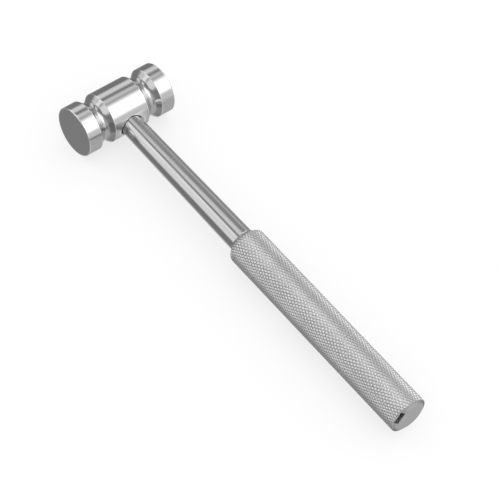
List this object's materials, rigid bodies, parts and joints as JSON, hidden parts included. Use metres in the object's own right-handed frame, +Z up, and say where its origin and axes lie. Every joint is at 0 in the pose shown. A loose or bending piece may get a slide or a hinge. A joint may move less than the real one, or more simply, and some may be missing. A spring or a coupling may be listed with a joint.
{
  "type": "surgical mallet",
  "caption": "All-metal surgical mallet with a grooved cylindrical head, a tapered round shaft and a knurled cylindrical grip.",
  "frame": {"origin": "middle of the bottom of the mallet's box, on the surface that its head lies on", "axes": "+X along the handle from the head to the grip's end, +Y along the head from one striking face to the other, +Z up from the surface"},
  "size_m": [0.261, 0.058, 0.029],
  "materials": {
    "polished_steel": "polished stainless steel with fine turning marks",
    "knurled_steel": "satin stainless steel with a fine diamond knurl",
    "ground_steel": "fine-ground satin stainless steel",
    "plain_steel": "plain machined stainless steel, hidden inside"
  },
  "bodies": {
    "root": {"head": "polished_steel", "head_pin": "polished_steel", "shaft": "polished_steel", "front_bush": "ground_steel", "grip_sleeve": "knurled_steel", "rear_bush": "plain_steel", "lock_washer": "plain_steel", "tang_nut": "plain_steel", "end_plug": "ground_steel"}
  },
  "joints": []
}
